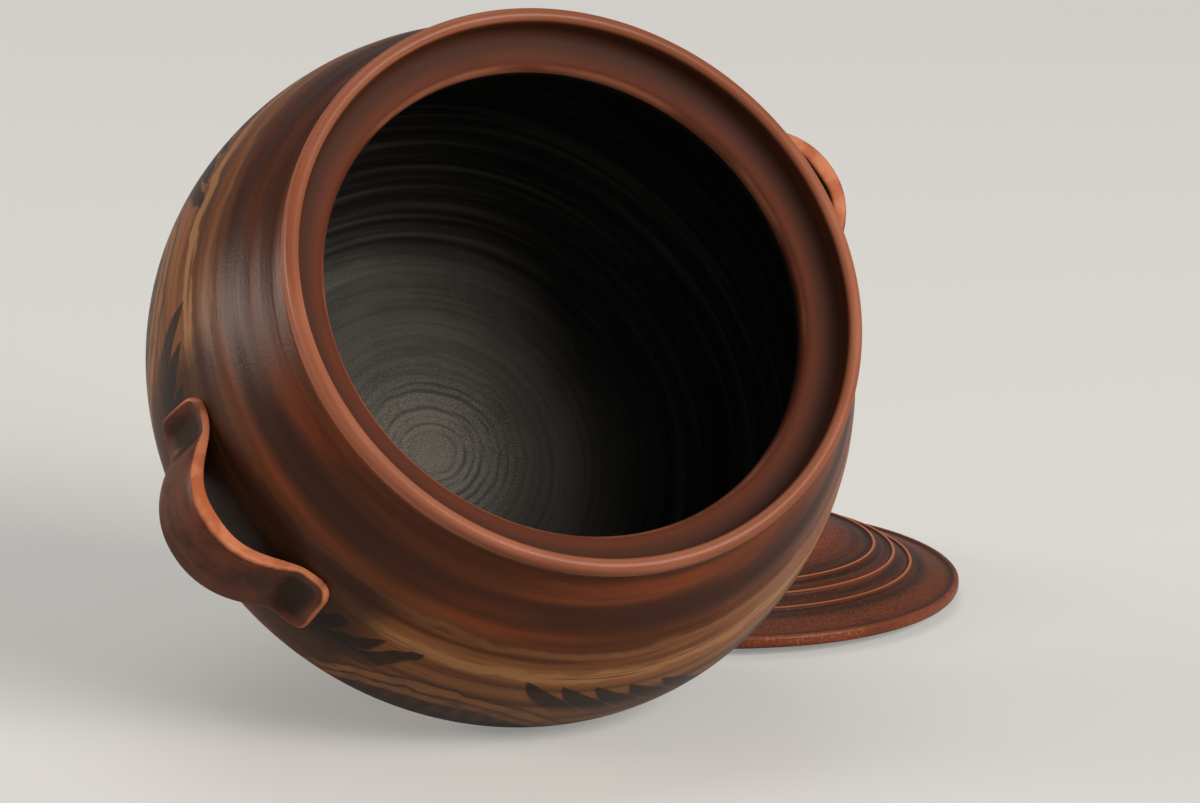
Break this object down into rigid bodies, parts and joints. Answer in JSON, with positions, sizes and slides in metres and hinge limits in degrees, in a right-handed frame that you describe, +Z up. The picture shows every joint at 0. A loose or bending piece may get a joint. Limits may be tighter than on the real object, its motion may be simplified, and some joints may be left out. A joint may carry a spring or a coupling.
{
  "type": "lidded clay cooking pot",
  "caption": "Round-bellied thrown clay cooking pot with strap handles, lying tipped on its side, with its ridged lid beside it.",
  "frame": {"origin": "middle of the whole arrangement's box, on the table that the pot and the lid lie on", "axes": "+Z up; the pot's mouth faces -Y and 35 degrees up; the lid lies flat towards +X and +Y"},
  "size_m": [0.3086, 0.2754, 0.2106],
  "materials": {
    "pot_clay": "burnished brown, smoke-fired, matt black inside",
    "handle_clay": "burnished red-brown with bright worn edges",
    "lid_clay": "burnished dark brown with bright ridges"
  },
  "bodies": {
    "pot": {"pot_body": "pot_clay", "handle_left": "handle_clay", "handle_right": "handle_clay"},
    "lid": {"lid_disc": "lid_clay", "lid_knob": "lid_clay"}
  },
  "joints": [
    {"name": "lid_slide", "type": "slide", "parent": "pot", "child": "lid", "axis": [1, 0, 0], "range_m": [0, 0.2]}
  ]
}
